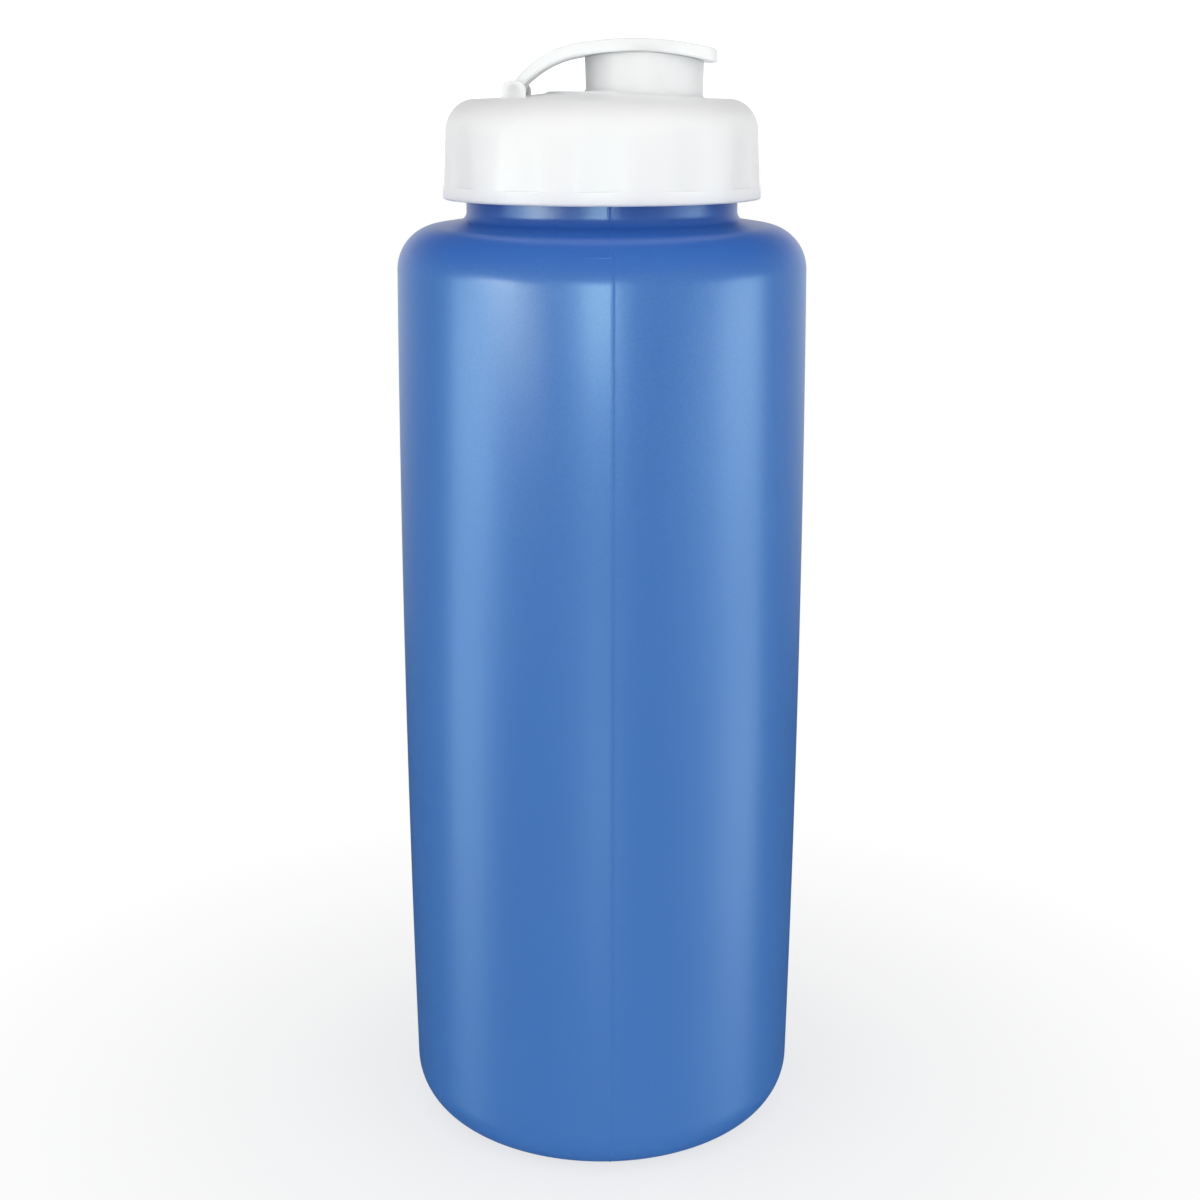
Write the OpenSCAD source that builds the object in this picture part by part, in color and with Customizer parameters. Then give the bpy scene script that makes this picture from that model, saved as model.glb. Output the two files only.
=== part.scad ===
// Flip-top grip bottle: a blow-moulded squeeze bottle, its fluted screw cap and the arched flip lid.
// The origin is the middle of the base, +Z is up, the spout is towards +X and the hinge towards -X.

/* [Bottle] */
// Widest diameter of the body, halfway up
body_d = 86; // [78:0.5:94]
// Height from the base to the open rim of the neck
bottle_h = 218.9; // [190:0.5:250]
// Height of the neck above the foot of the shoulder's slope
neck_h = 21.9; // [20:0.1:26]
// Wall of the body
wall = 1.2; // [0.8:0.1:2]
// Wall of the neck
neck_wall = 2; // [1.4:0.1:2.6]
// How far the middle of the side stands out beyond its two ends
barrel = 0.75; // [0.2:0.05:2]
// Radius between the side and the shoulder
shoulder_r = 9.2; // [6:0.1:12]
// Slope of the shoulder towards the neck, in degrees
shoulder_slope = 8.7; // [4:0.1:14]
// Fillet between the shoulder and the neck
neck_fillet = 1.9; // [1:0.1:3]
// Width of the rounded corner at the base
base_corner_w = 9; // [6:0.1:12]
// Height of the rounded corner at the base
base_corner_h = 10; // [6:0.1:14]
// Width of the flat ring that the bottle stands on
foot_w = 3; // [2:0.1:5]
// How far the middle of the base is pushed up
push_up = 4.5; // [2:0.1:7]

/* [Cap] */
// Diameter of the cap at its lower edge
cap_d = 65.2; // [64:0.1:68]
// Height from the lower edge to the flat edge of the crown
cap_h = 19.8; // [19:0.1:22]
// Height of the plain lip under the flutes
lip_h = 2.6; // [1.5:0.1:4]
// How far the lip flares out over its height
lip_flare = 0.15; // [0:0.05:0.4]
// Radius that the skirt loses from the lip to the crown
cap_draft = 0.45; // [0.2:0.05:0.8]
// Width of the rounded crown, measured across the cap
crown_w = 6.3; // [5:0.1:7.5]
// Height of the rounded crown
crown_h = 7; // [5:0.1:8]
// Wall of the skirt at its lower edge
skirt_wall = 3.1; // [2.4:0.05:3.6]
// Wall of the cap's top
cap_wall = 2; // [1.6:0.1:2.2]
// Radial room between the neck and the skirt, which the thread takes up
thread_room = 1.65; // [1.4:0.05:1.8]
// Gap between the neck's rim and the cap
seal_gap = 0.1; // [0.05:0.05:0.3]
// Height of the sealing ring that hangs inside the neck
ring_h = 4; // [2.5:0.1:6]
// Wall of the sealing ring
ring_wall = 1.2; // [0.8:0.1:1.6]
// Gap between the sealing ring and the neck
ring_gap = 0.25; // [0.15:0.05:0.5]

/* [Crown] */
// How far the top rises from the crown to the edge of the raised disc
dome_rise = 1.05; // [0.6:0.05:1.6]
// Diameter of the raised disc
disc_d = 22.4; // [18:0.1:26]
// Step up onto the raised disc
disc_step = 0.35; // [0.2:0.05:0.8]

/* [Flutes] */
// Number of grip flutes
flute_n = 12; // [8:1:16]
// Radius of a flute's scoop
flute_r = 26; // [20:1:40]
// Depth of a flute at the lip
flute_depth = 0.8; // [0.4:0.05:1]

/* [Spout] */
// Distance of the spout from the cap's axis
spout_x = 8.6; // [6:0.1:10]
// Diameter of the spout where it leaves the crown
spout_d = 23.8; // [22:0.1:24.2]
// How much wider the spout is at its rim
spout_flare = 0.3; // [0:0.05:0.4]
// Wall of the spout at its foot
spout_wall = 1.5; // [1.2:0.1:2]

/* [Lid] */
// Width of the strap
lid_w = 24.8; // [24.8:0.1:26]
// Thickness of the strap over the spout
lid_t = 2.55; // [2:0.05:3.2]
// Thickness of the strap at the hinge
root_t = 1.7; // [1.3:0.05:2.2]
// Height of the strap's highest point above the crown
lid_h = 11.5; // [10.5:0.1:12.5]
// Distance of that highest point from the cap's axis
arch_x = 6.2; // [4:0.1:8]
// Radius of the strap's long arch
arch_r = 68; // [55:1:85]
// Angle from the highest point to the start of the tight bend, in degrees
bend_a = 9.65; // [8:0.05:11]
// How far the thumb tab reaches past the spout
tab_reach = 2.4; // [1.5:0.1:5]
// Radius of the tab's corners
tab_corner = 4.5; // [2:0.1:8]
// Gap between the strap and the spout's rim
lid_gap = 0.2; // [0.1:0.05:0.5]
// Gap between the plug and the bore at the rim
plug_gap = 0.3; // [0.25:0.05:0.6]
// How far the plug reaches below the strap's underside at its highest point
plug_h = 3.9; // [3:0.1:5]
// How much smaller the plug's radius is at its tip
plug_taper = 1; // [0.7:0.1:2]
// Wall of the plug
plug_wall = 1.4; // [1:0.1:2]

/* [Hinge] */
// Distance of the hinge from the cap's axis
hinge_x = 17.3; // [16:0.1:18.5]
// Height of the hinge above the crown
hinge_h = 1.7; // [1.5:0.05:2.2]
// Radius of the strap's hinge barrel
barrel_r = 1.7; // [1.4:0.05:1.9]
// Radius of the hinge pins
pin_r = 0.95; // [0.7:0.05:1.1]
// Length of a hinge pin
pin_l = 1.8; // [1.2:0.1:2]
// Radial gap round a hinge pin
pin_gap = 0.07; // [0.05:0.01:0.1]
// Width of an ear
ear_w = 4.8; // [4:0.1:6]
// Thickness of an ear
ear_t = 2.6; // [2.4:0.1:3.2]
// Height of an ear above the hinge
ear_rise = 1.75; // [1.6:0.05:2.4]
// Radius of an ear's top corners
ear_corner = 1.9; // [1:0.1:2.3]
// Gap between the strap and each ear, and under the barrel
ear_gap = 0.25; // [0.15:0.05:0.4]

/* [Hidden] */
$fn = 96;

bottle_colour = "#4f83c2";
cap_colour = "#f3f5f6";
// How far a cutter runs past what it cuts
over = 1;

body_r = body_d / 2;
end_r = body_r - barrel;
// The neck takes its diameter from the cap, so that the two still fit at another size
skirt_in = cap_d / 2 - skirt_wall;
neck_r = skirt_in - thread_room;
neck_in = neck_r - neck_wall;
rim_round = 0.6;
side_steps = 16;
neck_foot_z = bottle_h - neck_h;
shoulder_x = end_r - shoulder_r;
shoulder_z = neck_foot_z - (shoulder_x + shoulder_r * sin(shoulder_slope) - neck_r) * tan(shoulder_slope)
    - shoulder_r * cos(shoulder_slope);
fillet_z = neck_foot_z + neck_fillet * (1 / cos(shoulder_slope) - tan(shoulder_slope));
foot_r = end_r - base_corner_w;
foot_in = foot_r - foot_w;
push_r = (foot_in * foot_in + push_up * push_up) / (2 * push_up);

ceiling_z = bottle_h + seal_gap;
crown_z = ceiling_z + cap_wall;
cap_z = crown_z - cap_h;
ledge_z = cap_z + lip_h;
ledge_r = cap_d / 2 - lip_flare;
skirt_r = ledge_r - cap_draft;
crown_r = skirt_r - crown_w;
corner_in = neck_r + 0.1;
ring_r = neck_in - ring_gap;
disc_r = disc_d / 2;
edge_round = 0.5;
// Power of the curve that lifts the top from the crown to the disc
dome_power = 1.6;
dome_steps = 7;
disc_z = crown_z + dome_rise + disc_step;

bore_r = spout_d / 2 - spout_wall;
arch_z = crown_z + lid_h - arch_r;
under_r = arch_r - lid_t;
hinge = [-hinge_x, crown_z + hinge_h];
arch = [arch_x, arch_z];
bend = [-sin(bend_a), cos(bend_a)];
tab_x = spout_x + spout_d / 2 + tab_reach;
rim_high_z = arch_z + under_r;
plug_top_r = bore_r - plug_gap;
// How far the plug's root goes up into the strap
plug_root = 0.3;

// Points along an elliptical arc, from angle a to angle b
function arc(c, rx, ry, a, b, n) =
    [for (i = [0 : n]) let (t = a + (b - a) * i / n) [c[0] + rx * cos(t), c[1] + ry * sin(t)]];

function reversed(v) = [for (i = [len(v) - 1 : -1 : 0]) v[i]];

function without_first(v) = [for (i = [1 : len(v) - 1]) v[i]];

// Line from the middle of the base to the rim, set in from the outside by the two walls given
function bottle_line(inset, neck_inset) = let (
    dome_a = acos(foot_in / push_r),
    dome_r = push_r + inset,
    neck_arc = neck_fillet + neck_inset
) concat(
    arc([0, push_up - push_r], dome_r, dome_r, 90, dome_a, 8),
    arc([foot_r, base_corner_h], base_corner_w - inset, base_corner_h - inset, -90, 0, 10),
    [for (i = [1 : side_steps - 1]) let (t = i / side_steps)
        [end_r - inset + 4 * barrel * t * (1 - t), base_corner_h + t * (shoulder_z - base_corner_h)]],
    arc([shoulder_x, shoulder_z], shoulder_r - inset, shoulder_r - inset, 0, 90 - shoulder_slope, 10),
    arc([neck_r + neck_fillet, fillet_z], neck_arc, neck_arc, 270 - shoulder_slope, 180, 6));

module bottle() {
    color(bottle_colour)
        rotate_extrude() polygon(concat(
            bottle_line(0, 0),
            arc([neck_r - rim_round, bottle_h - rim_round], rim_round, rim_round, 0, 90, 3),
            [[neck_in, bottle_h]],
            reversed(bottle_line(wall, neck_wall))));
}

// Height of the crown's surface at a distance from the axis
function dome_z(r) = crown_z + dome_rise * pow((crown_r - r) / (crown_r - disc_r), dome_power);

// Points of the domed top, from the disc out to the crown, lowered by a wall
function dome_line(r_from, r_to, drop) =
    [for (i = [0 : dome_steps]) let (r = r_from + (r_to - r_from) * i / dome_steps) [r, dome_z(r) - drop]];

module cap_shell() {
    step = edge_round;
    rotate_extrude() polygon(concat(
        [[0, disc_z], [disc_r - step, disc_z]],
        dome_line(disc_r + step, crown_r, 0),
        arc([crown_r, crown_z - crown_h], crown_w, crown_h, 80, 0, 9),
        [[ledge_r, ledge_z - step], [cap_d / 2, cap_z + step], [cap_d / 2 - step, cap_z],
         [skirt_in + step, cap_z], [skirt_in, cap_z + step],
         [skirt_in, ceiling_z - cap_wall], [corner_in, ceiling_z],
         [ring_r, ceiling_z], [ring_r, ceiling_z - ring_h + step],
         [ring_r - step, ceiling_z - ring_h], [ring_r - ring_wall, ceiling_z - ring_h]],
        reversed(dome_line(disc_r, ring_r - ring_wall, cap_wall)),
        [[0, disc_z - disc_step - cap_wall]]));
}

// One scoop per flute, ended by the lip below and running out in the crown above
module flutes() {
    for (i = [0 : flute_n - 1])
        rotate(360 / flute_n * i - 90)
            translate([ledge_r - flute_depth + flute_r, 0, ledge_z])
                cylinder(r = flute_r, h = cap_h);
}

// Tube that flares a little and ends under the strap's arch
module spout() {
    spout_h = rim_high_z - crown_z;
    intersection() {
        translate([spout_x, 0, crown_z])
            cylinder(d1 = spout_d, d2 = spout_d + spout_flare, h = spout_h);
        translate([arch_x, 0, arch_z]) rotate([90, 0, 0])
            cylinder(r = under_r - lid_gap, h = 2 * spout_d, center = true);
    }
}

// Lays a cylinder or an outline along the hinge's axis
module along_hinge() {
    translate([hinge[0], 0, hinge[1]]) rotate([90, 0, 0]) children();
}

// One ear at each end of the hinge, rooted in the crown
module ears() {
    low = crown_z - edge_round - hinge[1];
    half = ear_w / 2;
    corner = [half - ear_corner, ear_rise - ear_corner];
    along_hinge()
        for (side = [-1, 1])
            translate([0, 0, side * (lid_w / 2 + ear_gap + ear_t / 2)])
                linear_extrude(ear_t, center = true) polygon(concat(
                    [[half, low]],
                    arc(corner, ear_corner, ear_corner, 0, 90, 6),
                    arc([-corner[0], corner[1]], ear_corner, ear_corner, 90, 180, 6),
                    [[-half, low]]));
}

module cap() {
    gap_w = lid_w + 2 * ear_gap;
    color(cap_colour)
        difference() {
            union() {
                difference() {
                    cap_shell();
                    flutes();
                }
                spout();
                ears();
            }
            translate([spout_x, 0, ceiling_z - over])
                cylinder(r = bore_r, h = rim_high_z - ceiling_z + 2 * over);
            along_hinge() {
                cylinder(r = barrel_r + ear_gap, h = gap_w, center = true);
                cylinder(r = pin_r + pin_gap, h = gap_w + 2 * (pin_l + pin_gap), center = true);
            }
        }
}

// Radius of the tight bend that leaves the arch of radius r and passes the hinge at the offset given
function bend_r(r, offset) = let (v = hinge - arch - r * bend)
    (offset * offset - v * v) / (2 * (v * bend + offset));

// One side of the strap from the tab to the hinge: the long arch, then the bend
function strap_line(r, offset) = let (
    b = bend_r(r, offset),
    c = arch + (r - b) * bend,
    tab_a = acos((tab_x + over - arch_x) / r),
    root = hinge - c,
    root_a = atan2(root[1], root[0])
) concat(arc(arch, r, r, tab_a, 90 + bend_a, 10), without_first(arc(c, b, b, 90 + bend_a, root_a, 9)));

module strap() {
    intersection() {
        rotate([90, 0, 0]) linear_extrude(lid_w, center = true)
            polygon(concat(
                strap_line(arch_r, root_t / 2),
                reversed(strap_line(under_r, -root_t / 2))));
        translate([0, 0, crown_z]) linear_extrude(lid_h + over) polygon(concat(
            [[hinge[0] - barrel_r, -lid_w / 2]],
            arc([tab_x - tab_corner, tab_corner - lid_w / 2], tab_corner, tab_corner, -90, 0, 8),
            arc([tab_x - tab_corner, lid_w / 2 - tab_corner], tab_corner, tab_corner, 0, 90, 8),
            [[hinge[0] - barrel_r, lid_w / 2]]));
    }
}

// Tapered ring under the strap that closes the spout's bore
module plug() {
    tip_r = plug_top_r - plug_taper;
    cup_h = plug_h - plug_wall;
    translate([spout_x, 0, rim_high_z - plug_h])
        difference() {
            cylinder(r1 = tip_r, r2 = plug_top_r, h = plug_h + plug_root);
            translate([0, 0, -over])
                cylinder(r = tip_r - plug_wall, h = cup_h + over);
        }
}

module lid() {
    color(cap_colour)
        union() {
            strap();
            plug();
            along_hinge() {
                cylinder(r = barrel_r, h = lid_w, center = true);
                cylinder(r = pin_r, h = lid_w + 2 * (ear_gap + pin_l), center = true);
            }
        }
}

bottle();
cap();
lid();
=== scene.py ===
import math

import bmesh
import bpy
import numpy as np
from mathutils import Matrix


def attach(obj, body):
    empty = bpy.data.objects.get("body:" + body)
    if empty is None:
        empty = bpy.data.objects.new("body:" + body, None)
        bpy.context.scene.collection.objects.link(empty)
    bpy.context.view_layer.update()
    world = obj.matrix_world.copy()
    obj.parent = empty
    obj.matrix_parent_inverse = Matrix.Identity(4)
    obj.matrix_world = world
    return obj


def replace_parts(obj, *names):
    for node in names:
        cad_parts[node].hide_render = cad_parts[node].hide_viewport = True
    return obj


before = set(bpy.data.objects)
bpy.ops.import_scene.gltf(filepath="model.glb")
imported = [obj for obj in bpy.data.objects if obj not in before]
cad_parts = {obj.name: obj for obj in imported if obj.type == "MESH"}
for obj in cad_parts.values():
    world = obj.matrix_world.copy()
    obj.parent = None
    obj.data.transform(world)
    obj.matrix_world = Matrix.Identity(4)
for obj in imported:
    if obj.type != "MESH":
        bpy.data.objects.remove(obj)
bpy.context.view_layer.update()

# Lengths are in millimetres until a mesh is made, and metres from there on. Heights are above the foot, the
# bottle's axis is Z, and the front of the photograph looks along +Y.
MM = 0.001


# ---- Curves and meshes

def arc(cx, cz, rx, rz, a, b, n):
    """Points on an elliptical arc from angle a to angle b, in degrees."""
    t = np.radians(np.linspace(a, b, n + 1))
    return np.c_[cx + rx * np.cos(t), cz + rz * np.sin(t)]


def round_by(cx, cz, r, angles):
    """Points on a circle at the given angles, in degrees."""
    t = np.radians(angles)
    return np.c_[cx + r * np.cos(t), cz + r * np.sin(t)]


def line(a, b, n=1):
    """Points on a straight line, in n steps."""
    return np.c_[np.linspace(a[0], b[0], n + 1), np.linspace(a[1], b[1], n + 1)]


def joined(*parts):
    """One line through all the parts, without points that repeat the one before."""
    points = np.vstack(parts)
    keep = np.r_[True, np.hypot(*np.diff(points, axis=0).T) > 1e-4]
    return points[keep]


def smooth(t):
    """0 below 0 and 1 above 1, with an S-shaped rise between."""
    t = np.clip(t, 0, 1)
    return t * t * (3 - 2 * t)


def skin(rings, start=None, end=None):
    """Vertices and faces of a closed surface over rings, each end closed at a pole."""
    rings = np.asarray(rings, float)
    count, around = rings.shape[:2]
    i = np.arange(count - 1)[:, None] * around
    j = np.arange(around)[None, :]
    k = (j + 1) % around
    faces = np.stack([i + j, i + k, i + around + k, i + around + j], -1).reshape(-1, 4).tolist()
    verts = rings.reshape(-1, 3)
    j, k = j[0], k[0]
    last = (count - 1) * around
    faces += [[len(verts), b, a] for a, b in zip(j.tolist(), k.tolist())]
    faces += [[last + a, last + b, len(verts) + 1] for a, b in zip(j.tolist(), k.tolist())]
    start = rings[0].mean(0) if start is None else start
    end = rings[-1].mean(0) if end is None else end
    return np.vstack([verts, start, end]), faces


def revolved(profile, angles, centre=(0.0, 0.0)):
    """Rings from a profile of (radius, height); the first and last points lie on the axis."""
    r, z = profile[1:-1, 0][:, None], profile[1:-1, 1][:, None]
    x = centre[0] + r * np.cos(angles)
    y = centre[1] + r * np.sin(angles)
    return skin(
        np.stack([x, y, z + 0 * x], -1),
        (centre[0], centre[1], profile[0, 1]),
        (centre[0], centre[1], profile[-1, 1]),
    )


def solid(name, verts, faces, material=None):
    """A smooth-shaded object from vertices in millimetres."""
    mesh = bpy.data.meshes.new(name)
    mesh.from_pydata((np.asarray(verts) * MM).tolist(), [], faces)
    b = bmesh.new()
    b.from_mesh(mesh)
    bmesh.ops.recalc_face_normals(b, faces=b.faces)
    b.to_mesh(mesh)
    b.free()
    obj = bpy.data.objects.new(name, mesh)
    bpy.context.scene.collection.objects.link(obj)
    if material:
        mesh.materials.append(material)
    shade(obj)
    return obj


def shade(obj, sharp=38):
    """Smooth shading, but for edges sharper than the angle in degrees."""
    mesh = obj.data
    mesh.polygons.foreach_set("use_smooth", np.ones(len(mesh.polygons), bool))
    mesh.set_sharp_from_angle(angle=math.radians(sharp))
    mesh.update()


def combine(obj, others, operation):
    """Adds the other solids to obj, or cuts them from it, and removes them."""
    for other in others:
        m = obj.modifiers.new("combine", "BOOLEAN")
        m.operation = operation
        m.solver = "MANIFOLD"
        m.object = other
        mesh = bpy.data.meshes.new_from_object(obj.evaluated_get(bpy.context.evaluated_depsgraph_get()))
        obj.modifiers.clear()
        old, obj.data = obj.data, mesh
        bpy.data.meshes.remove(old)
        bpy.data.objects.remove(other)
    shade(obj)
    return obj


def turn(n):
    """n even angles round a circle."""
    return np.arange(n) * 2 * math.pi / n


# ---- Materials

def shader(name, colour, roughness):
    """A new material, with its node tree and its Principled shader."""
    m = bpy.data.materials.new(name)
    m.use_nodes = True
    tree = m.node_tree
    b = tree.nodes["Principled BSDF"]
    b.inputs["Base Color"].default_value = (*colour, 1)
    b.inputs["Roughness"].default_value = roughness
    return m, tree, b


def linear(r, g, b):
    """Linear colour from 0-255 sRGB."""
    shares = (r / 255, g / 255, b / 255)
    return tuple(c / 12.92 if c <= 0.04045 else ((c + 0.055) / 1.055) ** 2.4 for c in shares)


def noise(tree, scale, detail, roughness):
    """Noise over the object's own coordinates; the scale is in cells a metre."""
    n = tree.nodes.new("ShaderNodeTexNoise")
    n.inputs["Scale"].default_value = scale
    n.inputs["Detail"].default_value = detail
    n.inputs["Roughness"].default_value = roughness
    coords = tree.nodes.get("coords") or tree.nodes.new("ShaderNodeTexCoord")
    coords.name = "coords"
    tree.links.new(coords.outputs["Object"], n.inputs["Vector"])
    return n.outputs["Fac"]


def ranged(tree, value, low, high, to_low, to_high):
    """The value moved from one range to the other, and held at its ends."""
    n = tree.nodes.new("ShaderNodeMapRange")
    n.clamp = True
    for socket, number in zip(("From Min", "From Max", "To Min", "To Max"), (low, high, to_low, to_high)):
        n.inputs[socket].default_value = number
    tree.links.new(value, n.inputs["Value"])
    return n.outputs["Result"]


def blended(tree, factor, a, b):
    """A colour between a and b."""
    n = tree.nodes.new("ShaderNodeMix")
    n.data_type = "RGBA"
    n.inputs["A"].default_value = (*a, 1)
    n.inputs["B"].default_value = (*b, 1)
    tree.links.new(factor, n.inputs["Factor"])
    return n.outputs["Result"]


def combined(tree, operation, a, b):
    """Arithmetic on two values, each a socket or a number."""
    n = tree.nodes.new("ShaderNodeMath")
    n.operation = operation
    for socket, value in zip(n.inputs, (a, b)):
        if isinstance(value, (int, float)):
            socket.default_value = value
        else:
            tree.links.new(value, socket)
    return n.outputs[0]


def graded(tree, value, stops):
    """A value read off straight lines between (place, level) stops, in rising order."""
    low, high = stops[0][0], stops[-1][0]
    top = max(level for _, level in stops)
    n = tree.nodes.new("ShaderNodeValToRGB")
    ramp = n.color_ramp
    while len(ramp.elements) < len(stops):
        ramp.elements.new(0.5)
    for element, (place, level) in zip(ramp.elements, stops):
        element.position = (place - low) / (high - low)
        element.color = (level / top, level / top, level / top, 1)
    tree.links.new(ranged(tree, value, low, high, 0.0, 1.0), n.inputs["Fac"])
    return combined(tree, "MULTIPLY", n.outputs["Color"], top)


def frosted_blue():
    """Blue plastic with the faint bloom of a blasted mould."""
    m, tree, b = shader("frosted_blue", linear(61, 112, 180), 0.29)
    b.inputs["IOR"].default_value = 1.5
    b.inputs["Subsurface Weight"].default_value = 0.35
    b.inputs["Subsurface Radius"].default_value = (0.25, 0.5, 1.0)
    b.inputs["Subsurface Scale"].default_value = 0.003
    # A faint cloudiness all over, and towards the shoulder the fine grain of the blasted mould
    cloud = ranged(tree, noise(tree, 18, 3, 0.5), 0.35, 0.65, 0.35, 0.65)
    split = tree.nodes.new("ShaderNodeSeparateXYZ")
    tree.links.new(tree.nodes["coords"].outputs["Object"], split.inputs[0])
    grain = combined(tree, "MULTIPLY", ranged(tree, noise(tree, 1700, 2, 0.6), 0.3, 0.7, -0.35, 0.35),
                     ranged(tree, split.outputs["Z"], 0.09, 0.17, 0.1, 1.0))
    wall = blended(tree, combined(tree, "ADD", cloud, grain), linear(58, 108, 175), linear(64, 116, 185))
    # Painted shade: the shoulder and neck, which lie in shade under the cap, are given a darker, more
    # saturated blue
    shoulder_shade = ranged(tree, split.outputs["Z"], 0.187, 0.195, 0, 0.65)
    shaded_shoulder = blended(tree, shoulder_shade, (0, 0, 0), linear(45, 97, 188))
    tree.links.new(wall, shaded_shoulder.node.inputs["A"])
    tree.links.new(shaded_shoulder, b.inputs["Base Color"])
    tree.links.new(ranged(tree, noise(tree, 60, 3, 0.5), 0.3, 0.7, 0.28, 0.3), b.inputs["Roughness"])
    return m


def moulded_white(name, dark, light, depth):
    """White plastic between two tones, that lets light through to about the depth."""
    m, tree, b = shader(name, light, 0.33)
    b.inputs["Specular IOR Level"].default_value = 0.3
    b.inputs["IOR"].default_value = 1.49
    b.inputs["Subsurface Weight"].default_value = 1.0
    b.inputs["Subsurface Radius"].default_value = (1.0, 1.0, 1.0)
    b.inputs["Subsurface Scale"].default_value = depth
    cloud = noise(tree, 60, 2, 0.5)
    tree.links.new(blended(tree, ranged(tree, cloud, 0.35, 0.65, 0, 1), dark, light), b.inputs["Base Color"])
    tree.links.new(ranged(tree, noise(tree, 90, 2, 0.5), 0.3, 0.7, 0.32, 0.36), b.inputs["Roughness"])
    return m


BLUE = frosted_blue()
CAP_WHITE = moulded_white("moulded_white", linear(249, 250, 251), linear(251, 252, 253), 0.003)
# Painted shade: the lid is the cap's white plastic, given a darker copy so that the strap, which the lamps
# light more, does not render whiter than the cap
SHADED_LID_WHITE = moulded_white("moulded_white_lid_shaded", linear(243, 245, 247), linear(245, 247, 249), 0.006)


# ---- The bottle: revolved, with its thread, mould seam and pinch-off line

# The wall's radius at its ends, and how much it swells between them
END_R, BARREL = 42.25, 0.7
# The rolled corner, the standing ring and the pushed-up base
CORNER_W, CORNER_H = 9.0, 10.0
FOOT_R, FOOT_IN, PUSH_UP = 33.25, 30.25, 4.5
# The shoulder's round, its centre, and the slope in degrees that it runs out in
SHOULDER_R, SLOPE = 9.2, 8.7
SHOULDER_X, SHOULDER_Z = 33.05, 186.896
NECK_R, NECK_IN, NECK_TOP, NECK_FILLET = 27.85, 25.85, 218.9, 1.9
NECK_Z = 197.0
FILLET_Z = NECK_Z + NECK_FILLET * (1 / math.cos(math.radians(SLOPE)) - math.tan(math.radians(SLOPE)))
WALL = 1.2
RIM = 0.6
# The mould's parting plane stands a little to the right of the middle of the front
SEAM = math.radians(-90 + 2.7)
SEAM_RISE, SEAM_W = 0.1, 0.22
# A short line on the seam's left, where the neck's mould insert meets the body's
BAR_Z, BAR_L, BAR_RISE, BAR_W = 192.4, 4.6, 0.15, 0.2
THREAD_START, PITCH, TURNS = 207.0, 4.2, 1.4
THREAD_RISE = 1.25


def thread(angle, z, start, turns, foot, crest, height):
    """Height of a helical thread over a cylinder, fading at both ends."""
    out = np.zeros(np.broadcast(angle, z).shape)
    lap = (angle % (2 * math.pi)) / (2 * math.pi)
    for k in range(int(turns) + 1):
        p = lap + k
        off = np.abs(z - (start + PITCH * p))
        ends = smooth(p / 0.06) * smooth((turns - p) / 0.06)
        out = np.maximum(out, height * ends * smooth((foot / 2 - off) / ((foot - crest) / 2)))
    return out


def bottle_side(inset, n):
    """The wall's line from the base corner to the foot of the neck."""
    t = np.linspace(0, 1, n + 1)
    side = np.c_[END_R - inset + 4 * BARREL * t * (1 - t), CORNER_H + t * (SHOULDER_Z - CORNER_H)]
    neck_inset = NECK_R - NECK_IN if inset else 0
    k = max(6, n // 4)
    bar = math.degrees(math.asin((BAR_Z - SHOULDER_Z) / SHOULDER_R))
    finer = [] if inset else bar + np.linspace(-3, 3, 13)
    shoulder = np.sort(np.r_[np.linspace(0, 90 - SLOPE, k + 1), finer])
    return joined(
        arc(FOOT_R, CORNER_H, CORNER_W - inset, CORNER_H - inset, -90, 0, k),
        side,
        round_by(SHOULDER_X, SHOULDER_Z, SHOULDER_R - inset, shoulder),
        arc(NECK_R + NECK_FILLET, FILLET_Z, NECK_FILLET + neck_inset, NECK_FILLET + neck_inset,
            270 - SLOPE, 180, max(6, k // 2)),
    )


def bottle_base(inset, n):
    """The pushed-up base's line from the axis to the standing ring."""
    push_r = (FOOT_IN ** 2 + PUSH_UP ** 2) / (2 * PUSH_UP)
    r = push_r + inset
    edge = math.degrees(math.acos(FOOT_IN / push_r))
    return arc(0, PUSH_UP - push_r, r, r, 90, edge, n)


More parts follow.
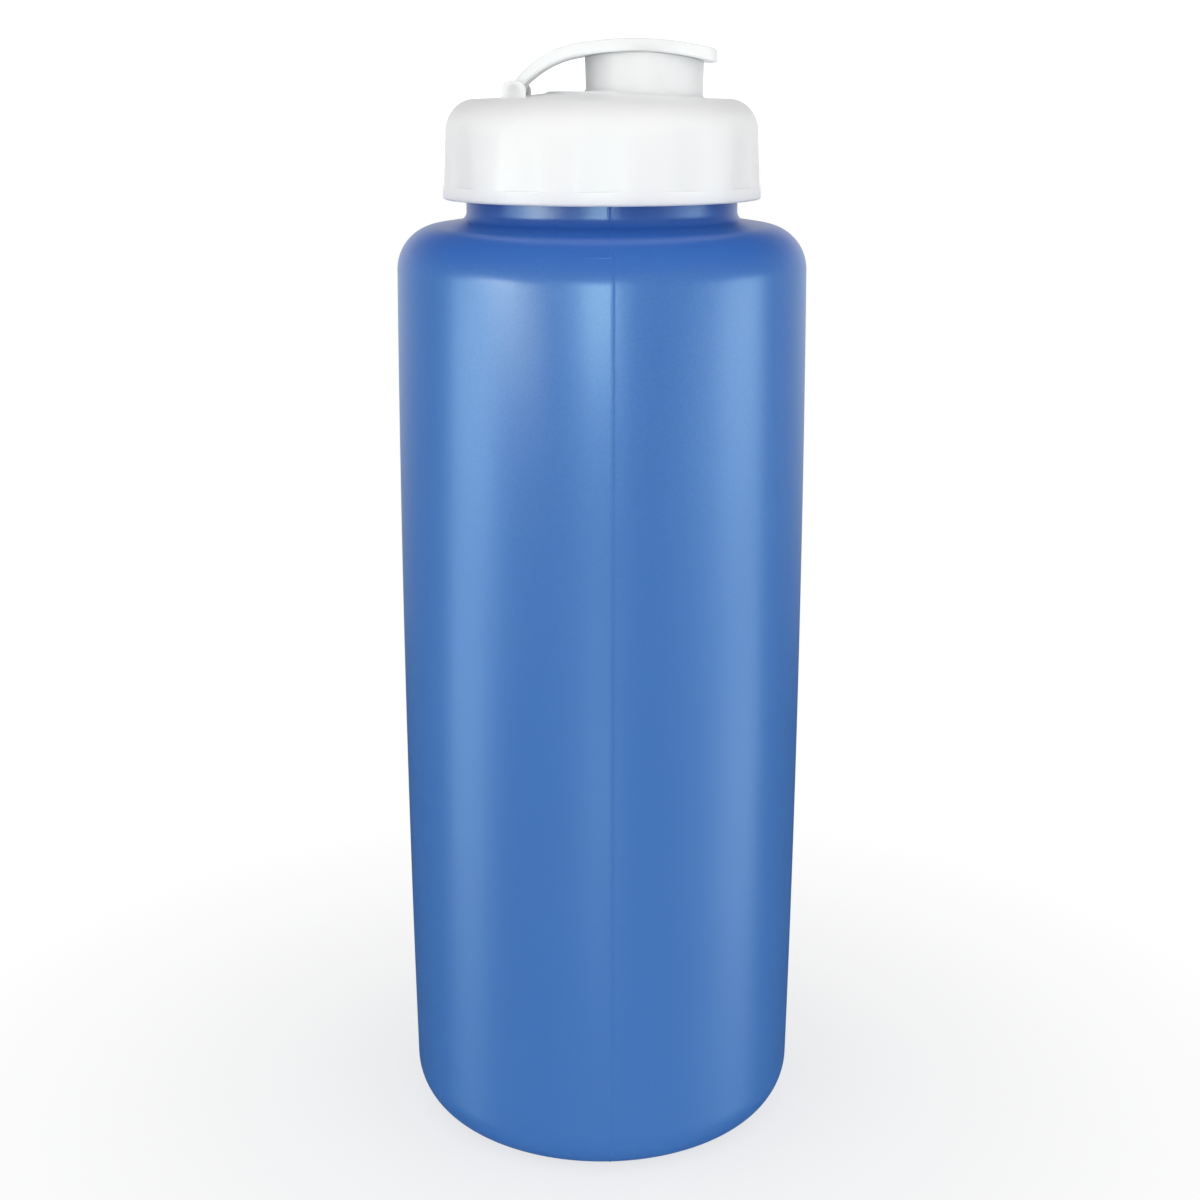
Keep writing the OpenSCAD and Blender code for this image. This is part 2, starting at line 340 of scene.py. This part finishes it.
def make_bottle():
    # The mesh is finer beside the seam, front and back
    near = np.radians(np.array([0.05, 0.1, 0.16, 0.23, 0.32, 0.45, 0.7, 1.05]) * 1.3)
    near = np.r_[-near[::-1], 0, near]
    even = turn(240)
    gap = np.minimum(
        np.abs((even - SEAM + math.pi) % (2 * math.pi) - math.pi),
        np.abs((even - SEAM) % (2 * math.pi) - math.pi),
    )
    angles = np.sort(np.r_[even[gap > np.radians(1.9)], (SEAM + near) % (2 * math.pi),
                           (SEAM + math.pi + near) % (2 * math.pi)])
    outer = joined(bottle_base(0, 14), bottle_side(0, 84))
    threaded = line((NECK_R, FILLET_Z), (NECK_R, NECK_TOP - RIM), 76)
    rim = joined(
        arc(NECK_R - RIM, NECK_TOP - RIM, RIM, RIM, 0, 90, 5),
        arc(NECK_IN + RIM, NECK_TOP - RIM, RIM, RIM, 90, 180, 5),
    )
    inner = joined(line((NECK_IN, NECK_TOP - RIM), (NECK_IN, FILLET_Z), 6),
                   bottle_side(WALL, 36)[::-1], bottle_base(WALL, 10)[::-1])
    profile = joined(outer, threaded, rim, inner)
    outside = np.arange(len(profile)) < len(outer) + len(threaded) - 1
    r, z = profile[1:-1, 0][:, None], profile[1:-1, 1][:, None]
    out = outside[1:-1][:, None]
    x, y = r * np.cos(angles), r * np.sin(angles)
    across = x * -math.sin(SEAM) + y * math.cos(SEAM)
    base = out & (z < 6) & (r < 30)
    wall = out & ~base
    ridge = SEAM_RISE * np.exp(-(across / SEAM_W) ** 2) * smooth((215 - z) / 8)
    bar_ends = smooth((across + BAR_L) / 0.6) * smooth((0.3 - across) / 0.5)
    bar = BAR_RISE * np.exp(-((z - BAR_Z) / BAR_W) ** 2) * bar_ends
    winding = thread(angles[None, :], z, THREAD_START, TURNS, 2.0, 0.9, THREAD_RISE)
    grow = np.where(wall, np.maximum(ridge, bar), 0) + np.where(wall & (z > FILLET_Z + 0.5), winding, 0)
    # The pinch-off line under the base
    drop = np.where(base, 0.4 * smooth((0.75 - np.abs(across)) / 0.45) * smooth((23 - r) / 3), 0)
    x, y = (r + grow) * np.cos(angles), (r + grow) * np.sin(angles)
    verts, faces = skin(np.stack([x, y, z - drop + 0 * x], -1), (0, 0, PUSH_UP - 0.4), (0, 0, PUSH_UP + WALL))
    obj = solid("bottle_shell", verts, faces, BLUE)
    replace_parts(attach(obj, "bottle_body"), "bottle")
    return obj


# ---- The cap: fluted shell, spout and hinge ears

# Heights of the crown's top, the skirt's foot, and the ledge between the lip and the flutes
CROWN_Z, CAP_Z, LEDGE_Z = 221.0, 201.2, 203.8
CAP_R, LEDGE_R, SKIRT_R, SKIRT_IN = 32.6, 32.45, 32.0, 29.5
# The rounded top corner starts at CROWN_R on the top and is CROWN_W by CROWN_H
CROWN_R, CROWN_W, CROWN_H = 25.7, 6.3, 7.0
CEILING_Z, CAP_WALL = 219.0, 2.0
DISC_R, DISC_Z, DOME_RISE = 11.2, 222.4, 1.05
# The ring that seals inside the neck
RING_IN, RING_R, RING_Z = 24.4, 25.6, 215.0
FLUTES, FLUTE_R, FLUTE_DEPTH = 12, 26.0, 0.8
# Where two surfaces meet in a soft line, its width
BLEND = 0.3
SPOUT_X, SPOUT_R, SPOUT_FLARE, BORE_R = 8.6, 11.9, 0.15, 10.4
# The lid's hinge: barrel and pins, the ears that hold them, and the clearances round them
HINGE_X, HINGE_Z = -17.3, 222.7
BARREL_R, PIN_R, PIN_HALF = 1.7, 0.95, 14.45
EAR_GAP, EAR_T, PIN_GAP = 0.25, 2.6, 0.07
# The lid's arch: its centre, and the radii of the strap's two faces
ARCH_X, ARCH_Z, ARCH_R, UNDER_R = 6.2, 164.5, 68.0, 65.45
LID_HALF = 12.4
RIM_GAP = 0.04
EDGE = 0.5


def dome_z(r):
    """Height of the cap's slightly domed top, outside its disc."""
    return CROWN_Z + DOME_RISE * (np.maximum(CROWN_R - r, 0) / (CROWN_R - DISC_R)) ** 1.6


def top_z(r):
    """Height of the cap's top: the dome, then the step up onto the disc."""
    return dome_z(np.maximum(r, DISC_R)) + (DISC_Z - CROWN_Z - DOME_RISE) * smooth(DISC_R + 0.5 - r)


def flute_r(angles):
    """Distance of the flutes' scooped faces from the axis."""
    step = 2 * math.pi / FLUTES
    a = (angles + math.pi / 2 + step / 2) % step - step / 2
    c = LEDGE_R - FLUTE_DEPTH + FLUTE_R
    return c * np.cos(a) - np.sqrt(FLUTE_R ** 2 - (c * np.sin(a)) ** 2)


def softer_min(a, b, k):
    """The lower of a and b, rounded over about k where they cross."""
    return 0.5 * (a + b - np.sqrt((a - b) ** 2 + k * k))


def make_cap_shell():
    """The cap without spout and ears: from the ceiling's middle down inside, round the lip and up outside."""
    angles = turn(480)
    ring = 0.5
    inner = joined(
        [[0, CEILING_Z + DOME_RISE]],
        line((3, CEILING_Z + DOME_RISE), (DISC_R, CEILING_Z + DOME_RISE), 3),
        [[r, dome_z(r) - CAP_WALL] for r in np.linspace(DISC_R, RING_IN - 0.4, 12)],
        [[RING_IN, CEILING_Z - 0.4]],
        line((RING_IN, CEILING_Z - 0.4), (RING_IN, RING_Z + ring), 4),
        arc((RING_IN + RING_R) / 2, RING_Z + ring, (RING_R - RING_IN) / 2, ring, 180, 360, 10),
        line((RING_R, RING_Z + ring), (RING_R, CEILING_Z - 0.2), 4),
        [[RING_R + 0.2, CEILING_Z], [NECK_R + 0.1, CEILING_Z]],
        arc(SKIRT_IN - 1.55, CEILING_Z - 2, 1.55, 2, 90, 0, 6),
        line((SKIRT_IN, CEILING_Z - 2), (SKIRT_IN, CAP_Z + EDGE), 44),
        arc(SKIRT_IN + EDGE, CAP_Z + EDGE, EDGE, EDGE, 180, 270, 4),
    )
    lip = joined(
        arc(CAP_R - EDGE, CAP_Z + EDGE, EDGE, EDGE, 270, 360, 6),
        line((CAP_R, CAP_Z + EDGE), (LEDGE_R, LEDGE_Z - 0.2), 6),
    )
    step = np.linspace(0, 1, 13)[1:]
    ledge_rise = np.where(step < 0.5, 0.5 - 0.5 * (1 - 2 * step) ** 2, 0.5 + 0.5 * (2 * step - 1) ** 2)
    wall_foot = LEDGE_Z + 0.2
    wall = line((LEDGE_R, wall_foot), (SKIRT_R, CROWN_Z - CROWN_H), 26)[1:]
    crown = arc(CROWN_R, CROWN_Z - CROWN_H, CROWN_W, CROWN_H, 0, 90, 28)[1:]
    dome = [[r, top_z(r)] for r in np.linspace(CROWN_R, DISC_R + 0.6, 14)[1:]]
    disc = [[r, top_z(r)] for r in DISC_R + 0.5 - np.linspace(0, 1, 9)]
    centre = [[r, DISC_Z] for r in (9.5, 7.0, 3.5, 0.0)]

    def rings(r, z):
        return np.stack([r * np.cos(angles), r * np.sin(angles), z + 0 * r], -1)

    flat = np.ones_like(angles)[None, :]
    in_r = inner[1:, 0][:, None] * flat
    in_z = inner[1:, 1][:, None] * flat
    threaded = np.abs(in_r - SKIRT_IN) < 1e-6
    winding = thread(angles[None, :], in_z, THREAD_START - PITCH / 2, 1.9, 1.8, 0.8, THREAD_RISE)
    in_r = in_r - np.where(threaded, winding, 0)
    lip_r = lip[:, 0][:, None] * flat
    lip_z = lip[:, 1][:, None] * flat
    scoop = flute_r(angles)[None, :]
    foot_r = softer_min(LEDGE_R + 0 * scoop, scoop, BLEND)
    mix = smooth((step[:, None] - 0.25) / 0.5)
    ledge_r = LEDGE_R * (1 - mix) + foot_r * mix
    ledge_z = (LEDGE_Z - 0.2 + 0.4 * ledge_rise)[:, None] * flat
    upper = np.vstack([wall, crown])
    up_r = softer_min(upper[:, 0][:, None] * flat, scoop, BLEND)
    up_z = upper[:, 1][:, None] * flat
    top = np.vstack([dome, disc, centre[:-1]])
    verts, faces = skin(
        np.concatenate([
            rings(in_r, in_z), rings(lip_r, lip_z), rings(ledge_r, ledge_z), rings(up_r, up_z),
            rings(top[:, 0][:, None] * flat, top[:, 1][:, None] * flat),
        ]),
        (0, 0, CEILING_Z + DOME_RISE), (0, 0, DISC_Z),
    )
    return solid("cap_shell", verts, faces, CAP_WHITE)


def rim_z(x):
    """Height of the spout's rim under the lid's arch."""
    return ARCH_Z + np.sqrt((UNDER_R - RIM_GAP) ** 2 - (x - ARCH_X) ** 2)


def make_spout():
    """The spout as a solid plug, from its fillet on the cap's top to its rounded rim."""
    angles = turn(160)
    c, s = np.cos(angles), np.sin(angles)
    fillet, rim = 0.6, 0.45
    foot = top_z(np.hypot(SPOUT_X + (SPOUT_R + fillet) * c, (SPOUT_R + fillet) * s))
    top = rim_z(SPOUT_X + SPOUT_R * c)
    rows = [(SPOUT_R + fillet, foot - 1.2), (SPOUT_R + fillet, foot - 0.02)]
    for a in np.radians(np.linspace(8, 90, 8)):
        rows.append((SPOUT_R + fillet * (1 - math.sin(a)), foot + fillet * (1 - math.cos(a))))
    for t in np.linspace(0, 1, 14)[1:]:
        rows.append((SPOUT_R + SPOUT_FLARE * t, foot + fillet + (top - rim - foot - fillet) * t))
    for a in np.radians(np.linspace(0, 90, 7)[1:]):
        rows.append((SPOUT_R + SPOUT_FLARE - rim * (1 - math.cos(a)), top - rim + rim * math.sin(a)))
    rows.append((BORE_R - 2, top))
    rings = np.array([np.c_[SPOUT_X + r * c, r * s, z + 0 * c] for r, z in rows])
    return solid("spout", *skin(rings))


def make_bore():
    """What is cut out of the spout, with the rounding of its rim's inner edge."""
    angles = turn(160)
    c, s = np.cos(angles), np.sin(angles)
    rim = 0.4
    top = rim_z(SPOUT_X + BORE_R * c)
    rows = [(BORE_R, CEILING_Z - 1 + 0 * c)]
    rows += [(BORE_R, CEILING_Z - 1 + (top - rim - CEILING_Z + 1) * t) for t in np.linspace(0, 1, 9)[1:]]
    for a in np.radians(np.linspace(0, 90, 7)[1:]):
        rows.append((BORE_R + rim * (1 - math.cos(a)), top - rim + rim * math.sin(a)))
    rows.append((BORE_R + rim, top + 1))
    rings = np.array([np.c_[SPOUT_X + r * c, r * s, z + 0 * c] for r, z in rows])
    return solid("bore", *skin(rings))


def slab(name, outline, depth, middle, edge):
    """An upright plate in the XZ plane with rounded edges, its outline convex and anticlockwise."""
    back = np.roll(outline, 1, 0) - outline
    ahead = np.roll(outline, -1, 0) - outline
    back /= np.linalg.norm(back, axis=1)[:, None]
    ahead /= np.linalg.norm(ahead, axis=1)[:, None]
    left = np.c_[-ahead[:, 1], ahead[:, 0]]
    before = np.c_[back[:, 1], -back[:, 0]]
    inward = left + before
    inward /= np.maximum(np.sum(inward * left, 1), 1e-6)[:, None]
    rings = []
    for a in np.radians(np.linspace(0, 90, 6)):
        rings.append((edge * (1 - math.sin(a)), -depth / 2 + edge * (1 - math.cos(a))))
    for a in np.radians(np.linspace(90, 0, 6)):
        rings.append((edge * (1 - math.sin(a)), depth / 2 - edge * (1 - math.cos(a))))
    made = []
    for inset, y in rings:
        p = outline + inset * inward
        made.append(np.c_[p[:, 0], np.full(len(p), middle + y), p[:, 1]])
    return solid(name, *skin(made))


def make_ears():
    """The two ears beside the hinge, rounded above and sunk in the cap's top below."""
    half, rise, corner, low = 2.4, 1.75, 1.9, -2.2
    outline = joined(
        [[-half, low], [half, low]],
        arc(half - corner, rise - corner, corner, corner, 0, 90, 12),
        arc(corner - half, rise - corner, corner, corner, 90, 180, 12),
    ) + (HINGE_X, HINGE_Z)
    middle = LID_HALF + EAR_GAP + EAR_T / 2
    return [slab(f"ear{side}", outline, EAR_T, side * middle, 0.4) for side in (-1, 1)]


def along_hinge(name, profile, n=64):
    """A solid revolved round the hinge's axis, from a profile of (radius, place along Y)."""
    verts, faces = revolved(profile, turn(n))
    x, y, z = verts.T
    return solid(name, np.c_[HINGE_X + x, z, HINGE_Z + y], faces)


def pin_line(r, half, edge):
    """Profile of a pin with rounded ends."""
    return joined([[0, -half]], arc(r - edge, -half + edge, edge, edge, -90, 0, 5),
                  arc(r - edge, half - edge, edge, edge, 0, 90, 5), [[0, half]])


def drum_line(r, half):
    """Profile of a plain cylinder."""
    return np.array([[0, -half], [r, -half], [r, half], [0, half]])


def make_cap():
    shell = make_cap_shell()
    combine(shell, [make_spout(), *make_ears()], "UNION")
    pocket = along_hinge("pocket", drum_line(BARREL_R + EAR_GAP, LID_HALF + EAR_GAP))
    holes = along_hinge("holes", drum_line(PIN_R + PIN_GAP, PIN_HALF + PIN_GAP))
    combine(shell, [make_bore(), pocket, holes], "DIFFERENCE")
    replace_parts(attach(shell, "cap_body"), "cap")
    return shell


# ---- The lid: arched strap, hinge barrel with pins, and plug

# How far the arch goes past its top, in degrees, before it bends to the hinge
BEND_A = 9.65
# The thumb tab's end and the round of its corners
TAB_X, TAB_CORNER = 22.9, 4.5
# The strap's thickness at its root
ROOT_T = 1.7


def strap_side(r, offset, x_tab, arch_f, bend_f):
    """One face of the strap in the XZ plane: along the arch, then round the bend to the hinge."""
    hinge, arch = np.array([HINGE_X, HINGE_Z]), np.array([ARCH_X, ARCH_Z])
    bend = np.array([-math.sin(math.radians(BEND_A)), math.cos(math.radians(BEND_A))])
    v = hinge - arch - r * bend
    b = (offset ** 2 - v @ v) / (2 * (v @ bend + offset))
    c = arch + (r - b) * bend
    root = hinge - c
    tab_a = math.degrees(math.acos((x_tab - ARCH_X) / r))
    root_a = math.degrees(math.atan2(root[1], root[0]))
    a = np.radians(tab_a + arch_f * (90 + BEND_A - tab_a))
    e = np.radians(90 + BEND_A + bend_f * (root_a - 90 - BEND_A))
    return np.vstack([arch + r * np.c_[np.cos(a), np.sin(a)], c + b * np.c_[np.cos(e), np.sin(e)]])


def make_strap():
    """The arched strap: two faces on a grid of rows along it and places across, closed by a border."""
    corner = TAB_CORNER
    near = corner * (1 - np.sin(np.radians(np.r_[np.arange(90, 60, -3), np.arange(60, -1, -6)])))
    reach = TAB_X - (ARCH_X - ARCH_R * math.sin(math.radians(BEND_A)))
    arch_f = np.r_[near, np.linspace(corner, reach, 26)[1:]] / reach
    bend_f = np.linspace(0, 1, 26)[1:]
    top = strap_side(ARCH_R, ROOT_T / 2, TAB_X, arch_f, bend_f)
    under = strap_side(UNDER_R, -ROOT_T / 2, TAB_X, arch_f, bend_f)
    d = TAB_X - (top[:, 0] + under[:, 0]) / 2
    d[0] = 0
    half = LID_HALF - corner + np.sqrt(corner ** 2 - np.maximum(corner - d, 0) ** 2)
    inset = np.array([0, 0.02, 0.07, 0.15, 0.27, 0.42, 0.65, 1.2])
    share = np.array([0.85, 0.7, 0.55, 0.4, 0.2, 0.0])
    y = np.c_[half[:, None] - inset, (half[:, None] - 1.2) * share]
    y = np.c_[y, -y[:, -2::-1]]
    corner_off = np.hypot(np.maximum(corner - d, 0)[:, None], np.maximum(np.abs(y) - LID_HALF + corner, 0))
    edge_off = np.where(
        (d[:, None] < corner) & (np.abs(y) > LID_HALF - corner),
        corner - corner_off, np.minimum(d[:, None], LID_HALF - np.abs(y)))
    edge_off = np.clip(edge_off, 0, EDGE)
    fall = EDGE - np.sqrt(EDGE ** 2 - (EDGE - edge_off) ** 2)
    normal = top - under
    normal /= np.linalg.norm(normal, axis=1)[:, None]
    count, across = y.shape

    def face(side, sign):
        p = side[:, None, :] - sign * fall[:, :, None] * normal[:, None, :]
        return np.stack([p[:, :, 0], y, p[:, :, 1]], -1).reshape(-1, 3)

    verts = np.vstack([face(top, 1), face(under, -1)])
    n = count * across
    i = np.arange(count - 1)[:, None] * across
    j = np.arange(across - 1)[None, :]
    quads = np.stack([i + j, i + j + 1, i + across + j + 1, i + across + j], -1).reshape(-1, 4)
    faces = quads.tolist() + (quads[:, ::-1] + n).tolist()
    rows = np.arange(count) * across
    border = np.r_[np.arange(across), rows[1:] + across - 1,
                   (rows[-1] + np.arange(across - 1))[::-1], rows[1:-1][::-1]]
    a, b = border, np.roll(border, -1)
    faces += np.stack([b, a, a + n, b + n], -1).tolist()
    return solid("lid_strap", verts, faces, SHADED_LID_WHITE)


def make_lid():
    strap = make_strap()
    barrel = along_hinge("barrel", pin_line(BARREL_R, LID_HALF, 0.35))
    pins = along_hinge("pins", pin_line(PIN_R, PIN_HALF, 0.3), 40)
    tip_z, roof_z, root_z = 226.05, 228.55, 230.25
    plug = joined(
        [[0, roof_z]],
        arc(7.3, roof_z - 0.4, 0.4, 0.4, 90, 0, 4),
        arc(8.2, tip_z + 0.5, 0.5, 0.5, 180, 270, 5),
        arc(8.75, tip_z + 0.5, 0.5, 0.5, 270, 345, 5),
        [[10.1, root_z - 0.3], [10.1, root_z], [0, root_z]],
    )
    verts, faces = revolved(plug, turn(128), (SPOUT_X, 0))
    combine(strap, [barrel, pins, solid("plug", verts, faces)], "UNION")
    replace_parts(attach(strap, "lid_body"), "lid")
    return strap


make_bottle()
make_cap()
make_lid()


# ---- Floor, studio and camera

# The softboxes' distance from the bottle's axis, in metres
SOFTBOX_AWAY = 0.25


def seen_directly(tree):
    """1 where the ray is the camera's or has been mirrored or let through, and 0 for bounced light."""
    path = tree.nodes.new("ShaderNodeLightPath")
    seen = path.outputs["Is Camera Ray"]
    for name in ("Is Glossy Ray", "Is Transmission Ray"):
        seen = combined(tree, "MAXIMUM", seen, path.outputs[name])
    return seen


def make_floor():
    """A white disc that keeps the shadow near the object and runs out into pure white."""
    m, tree, b = shader("floor_white", linear(236, 237, 238), 0.7)
    b.inputs["Specular IOR Level"].default_value = 0.0
    glow = tree.nodes.new("ShaderNodeEmission")
    coords = tree.nodes.new("ShaderNodeTexCoord")
    away = tree.nodes.new("ShaderNodeVectorMath")
    away.operation = "LENGTH"
    tree.links.new(coords.outputs["Object"], away.inputs[0])
    share = ranged(tree, away.outputs["Value"], 0.045, 0.17, 0.7, 1.0)
    mix = tree.nodes.new("ShaderNodeMixShader")
    tree.links.new(combined(tree, "MULTIPLY", combined(tree, "MAXIMUM", seen_directly(tree), 0.25), share),
                   mix.inputs[0])
    tree.links.new(b.outputs[0], mix.inputs[1])
    tree.links.new(glow.outputs[0], mix.inputs[2])
    tree.links.new(mix.outputs[0], tree.nodes["Material Output"].inputs["Surface"])
    t = turn(128)
    rings = [np.c_[r * np.cos(t), r * np.sin(t), 0 * t] for r in (50, 400, 1500, 6000)]
    verts, faces = skin(rings, (0, 0, 0), (0, 0, -1))
    floor = solid("floor", verts, faces[:-128], m)
    for p in floor.data.polygons:
        if p.normal.z < 0:
            p.flip()
    # The softboxes reach below the table's top, as they do beside a narrow pedestal
    floor.visible_shadow = False
    floor.visible_glossy = False


def make_world():
    """White where the camera looks; otherwise lit from the front and behind, with a dim ceiling."""
    world = bpy.data.worlds.new("studio")
    bpy.context.scene.world = world
    world.use_nodes = True
    tree = world.node_tree
    back = tree.nodes["Background"]
    path = tree.nodes.new("ShaderNodeLightPath")
    coords = tree.nodes.new("ShaderNodeTexCoord")
    split = tree.nodes.new("ShaderNodeSeparateXYZ")
    tree.links.new(coords.outputs["Generated"], split.inputs[0])
    front_to_back = ((-1, 1.44), (-0.3, 1.44), (0.1, 0.95), (0.6, 0.35), (0.85, 0.5), (1, 1.5))
    ceiling = ranged(tree, split.outputs["Z"], 0.25, 0.95, 1.0, 0.55)
    bounced = combined(tree, "MULTIPLY", graded(tree, split.outputs["Y"], front_to_back), ceiling)
    band = ((-1, 0.05), (-0.3, 0.05), (-0.08, 0.9), (0.15, 0.9), (0.5, 0.1), (1, 0.1))
    backdrop = ranged(tree, split.outputs["Y"], 0.3, 0.9, 0.15, 1.0)
    mirrored = combined(tree, "MULTIPLY", backdrop, graded(tree, split.outputs["Z"], band))
    gloss = path.outputs["Is Glossy Ray"]
    level = combined(tree, "ADD", combined(tree, "MULTIPLY", gloss, mirrored),
                     combined(tree, "MULTIPLY", combined(tree, "SUBTRACT", 1.0, gloss), bounced))
    level = combined(tree, "MAXIMUM", level, path.outputs["Is Camera Ray"])
    level = combined(tree, "MAXIMUM", level, path.outputs["Is Transmission Ray"])
    tree.links.new(level, back.inputs["Strength"])
    back.inputs["Color"].default_value = (1, 1, 1, 1)


def softbox(name, azimuth, lean, *glows):
    """A panel that shows only as a highlight, azimuth degrees from -Y towards +X and facing the axis.

    Each glow is (colour, stops across the panel from its left, stops upwards), in metres and radiance."""
    m = bpy.data.materials.new(name)
    m.use_nodes = True
    tree = m.node_tree
    tree.nodes.remove(tree.nodes["Principled BSDF"])
    coords = tree.nodes.new("ShaderNodeTexCoord")
    split = tree.nodes.new("ShaderNodeSeparateXYZ")
    tree.links.new(coords.outputs["Object"], split.inputs[0])
    shown = None
    for colour, across, upwards in glows:
        glow = tree.nodes.new("ShaderNodeEmission")
        glow.inputs["Color"].default_value = (*colour, 1)
        tree.links.new(combined(tree, "MULTIPLY", graded(tree, split.outputs["X"], across),
                                graded(tree, split.outputs["Z"], upwards)), glow.inputs["Strength"])
        if shown:
            add = tree.nodes.new("ShaderNodeAddShader")
            tree.links.new(shown, add.inputs[0])
            tree.links.new(glow.outputs[0], add.inputs[1])
            glow = add
        shown = glow.outputs[0]
    tree.links.new(shown, tree.nodes["Material Output"].inputs["Surface"])
    left, right = min(g[1][0][0] for g in glows), max(g[1][-1][0] for g in glows)
    low, high = min(g[2][0][0] for g in glows), max(g[2][-1][0] for g in glows)
    corners = np.array([[left, 0, low], [right, 0, low], [right, 0, high], [left, 0, high]])
    mesh = bpy.data.meshes.new(name)
    mesh.from_pydata(corners.tolist(), [], [[0, 1, 2, 3]])
    mesh.materials.append(m)
    obj = bpy.data.objects.new(name, mesh)
    a = math.radians(azimuth)
    obj.location = (SOFTBOX_AWAY * math.sin(a), -SOFTBOX_AWAY * math.cos(a), 0)
    obj.rotation_euler = (0, math.radians(lean), a)
    obj.visible_diffuse = False
    obj.visible_camera = False
    obj.visible_shadow = False
    obj.visible_transmission = False
    bpy.context.scene.collection.objects.link(obj)


make_floor()
make_world()
# The left softbox makes the wide highlight down the wall, and its top the glow beside the shoulder
softbox(
    "left_softbox", -56, 16,
    ((0.68, 1.0, 1.03),
     ((-0.175, 0), (-0.155, 1), (-0.06, 1), (-0.02, 0.3), (0.02, 0)),
     ((-0.25, 0.4), (-0.136, 1.0), (-0.1, 1.5), (-0.02, 2.7),
      (0.053, 3.0), (0.103, 4.6), (0.14, 5.6), (0.2, 0))),
    ((0.9, 1.0, 0.8),
     ((-0.12, 0), (-0.06, 0.7), (-0.02, 1), (0.02, 0.6), (0.07, 0.25), (0.13, 0.1), (0.2, 0)),
     ((0.13, 0), (0.16, 3), (0.185, 20), (0.2, 20), (0.205, 0))),
)
softbox(
    "right_softbox", 55, -8,
    ((0.72, 1.0, 1.0),
     ((-0.12, 0), (-0.08, 0.08), (-0.03, 0.2), (0.03, 0.5), (0.08, 1), (0.18, 1), (0.23, 0)),
     ((-0.25, 0.3), (-0.16, 0.9), (-0.1, 1.5), (-0.03, 2.6),
      (0.047, 2.4), (0.1, 3.7), (0.135, 5.2), (0.16, 6.5), (0.2, 0))),
)
# The front softbox makes the narrow highlight that ends at the seam
softbox(
    "front_softbox", 0, 0,
    ((0.7, 1.0, 0.9),
     ((-0.13, 0), (-0.06, 0.2), (-0.02, 1), (0.03, 1), (0.036, 0)),
     ((-0.17, 0), (-0.07, 0.3), (0, 2.0), (0.074, 1.2), (0.12, 0.8),
      (0.145, 2), (0.165, 14), (0.185, 22), (0.205, 0))),
)
# A small lamp close in front fills the shade under the lid; its beam passes over the closed cap's wall
fill = bpy.data.lights.new("fill", "AREA")
fill.shape = "RECTANGLE"
fill.size, fill.size_y = 0.1, 0.01
fill.spread = math.radians(60)
fill.energy = 0.001
lamp = bpy.data.objects.new("fill", fill)
lamp.location = (-0.012, -0.08, 0.2235)
lamp.rotation_euler = (math.radians(90 + 14), 0, 0)
lamp.visible_glossy = False
lamp.visible_camera = False
bpy.context.scene.collection.objects.link(lamp)

lens = bpy.data.cameras.new("camera")
lens.sensor_width = 36
lens.lens = 56.25
lens.shift_x = -0.0016
camera = bpy.data.objects.new("camera", lens)
camera.location = (0, -0.39401, 0.221264)
camera.rotation_euler = (math.radians(90 - 15.015), 0, 0)
bpy.context.scene.collection.objects.link(camera)
bpy.context.scene.camera = camera
bpy.context.scene.view_settings.view_transform = "Standard"
